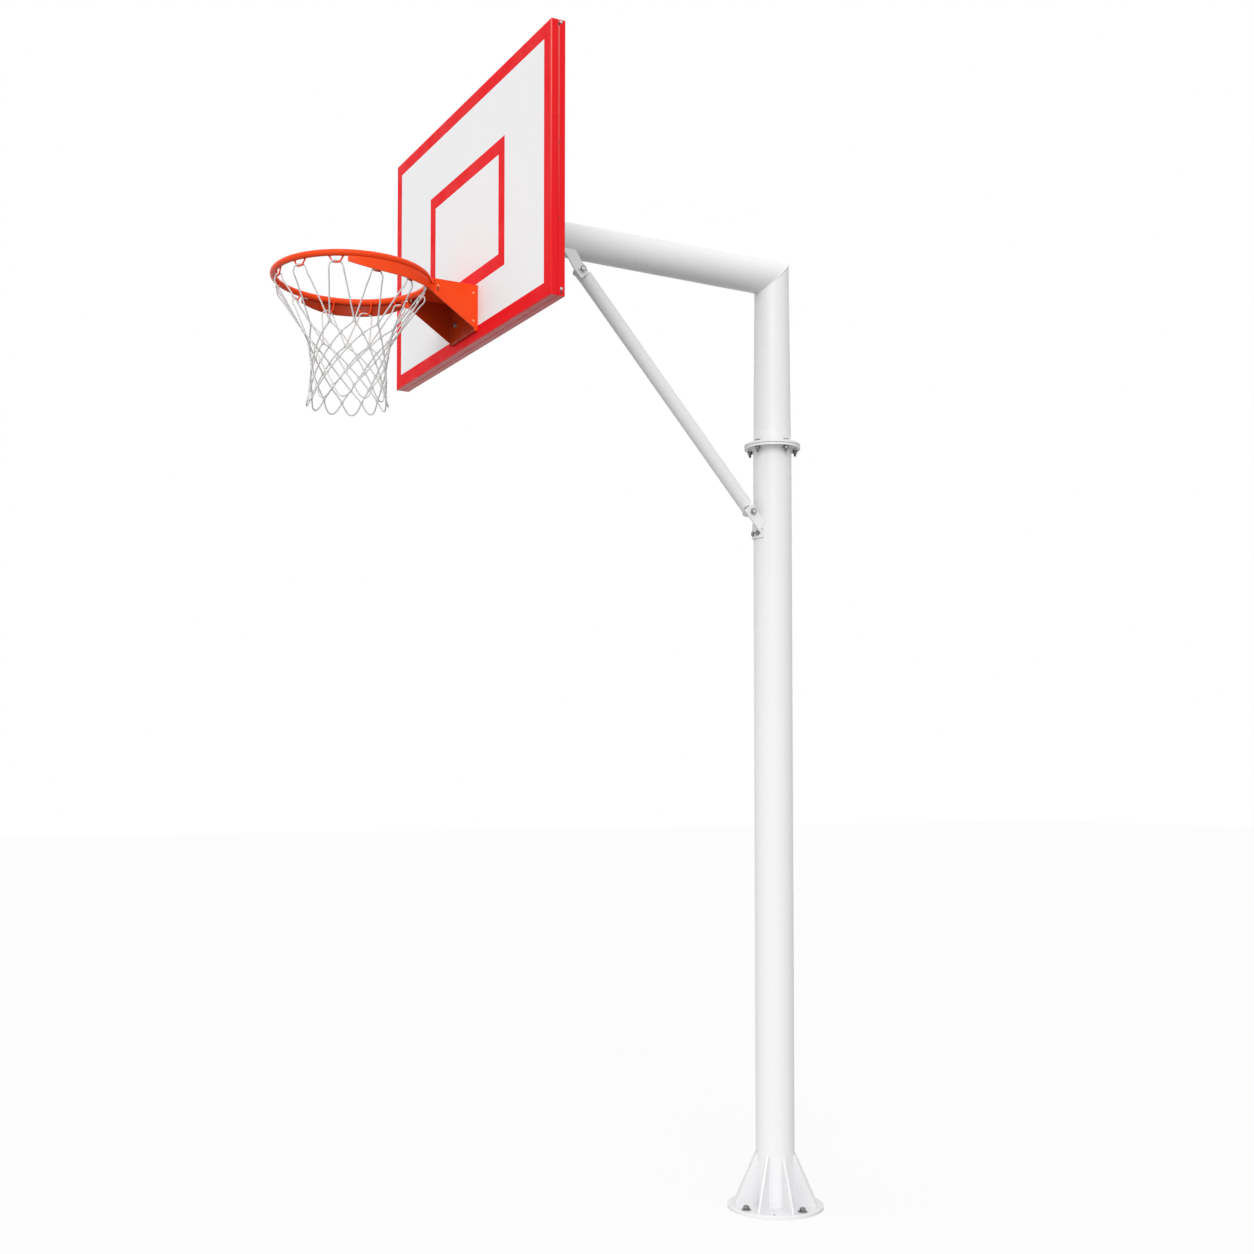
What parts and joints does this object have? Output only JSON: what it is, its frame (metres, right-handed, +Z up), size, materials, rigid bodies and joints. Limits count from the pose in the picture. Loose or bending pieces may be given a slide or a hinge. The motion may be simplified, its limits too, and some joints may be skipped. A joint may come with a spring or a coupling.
{
  "type": "in-ground basketball goal",
  "caption": "Pole-mounted basketball goal with gooseneck arm, diagonal stay, framed rectangular board, fixed rim and net.",
  "frame": {"origin": "centre of the base plate's underside, on the pole's axis", "axes": "+Z up along the pole; the board and the rim are towards -Y; the board's width runs along X"},
  "size_m": [1.235, 1.9826, 3.68],
  "materials": {
    "pole_white": "gloss",
    "board_red": "satin",
    "rim_orange": "gloss",
    "zinc": "galvanised",
    "cord": "matte"
  },
  "bodies": {
    "root": {"base_plate": "pole_white", "base_gusset_1": "pole_white", "base_gusset_2": "pole_white", "base_gusset_3": "pole_white", "base_gusset_4": "pole_white", "base_gusset_5": "pole_white", "base_gusset_6": "pole_white", "base_gusset_7": "pole_white", "base_gusset_8": "pole_white", "lower_post": "pole_white", "lower_flange": "pole_white", "upper_flange": "pole_white", "neck_upright": "pole_white", "arm_tube": "pole_white", "arm_end_plate": "pole_white", "upper_stay_lug": "pole_white", "lower_stay_lug": "pole_white", "stay_tube": "pole_white", "stay_upper_eye": "pole_white", "stay_lower_eye": "pole_white", "board_panel": "board_red", "board_frame": "board_red", "rim_ring": "rim_orange", "bracket_left_side": "rim_orange", "bracket_right_side": "rim_orange", "bracket_back_plate": "rim_orange", "anchor_stud_1": "zinc", "anchor_stud_2": "zinc", "anchor_stud_3": "zinc", "anchor_stud_4": "zinc", "anchor_nut_1": "zinc", "anchor_nut_2": "zinc", "anchor_nut_3": "zinc", "anchor_nut_4": "zinc", "flange_bolt_1": "zinc", "flange_bolt_2": "zinc", "flange_bolt_3": "zinc", "flange_bolt_4": "zinc", "flange_bolt_5": "zinc", "flange_nut_1": "zinc", "flange_nut_2": "zinc", "flange_nut_3": "zinc", "flange_nut_4": "zinc", "flange_nut_5": "zinc", "board_bolt_1": "zinc", "board_bolt_2": "zinc", "board_bolt_3": "zinc", "board_bolt_4": "zinc", "rim_bolt_1": "zinc", "rim_bolt_2": "zinc", "rim_bolt_3": "zinc", "rim_bolt_4": "zinc", "lug_bolt_1": "zinc", "lug_bolt_2": "zinc", "stay_upper_bolt": "zinc", "stay_upper_nut": "zinc", "stay_lower_bolt": "zinc", "stay_lower_nut": "zinc", "net": "cord"}
  },
  "joints": []
}
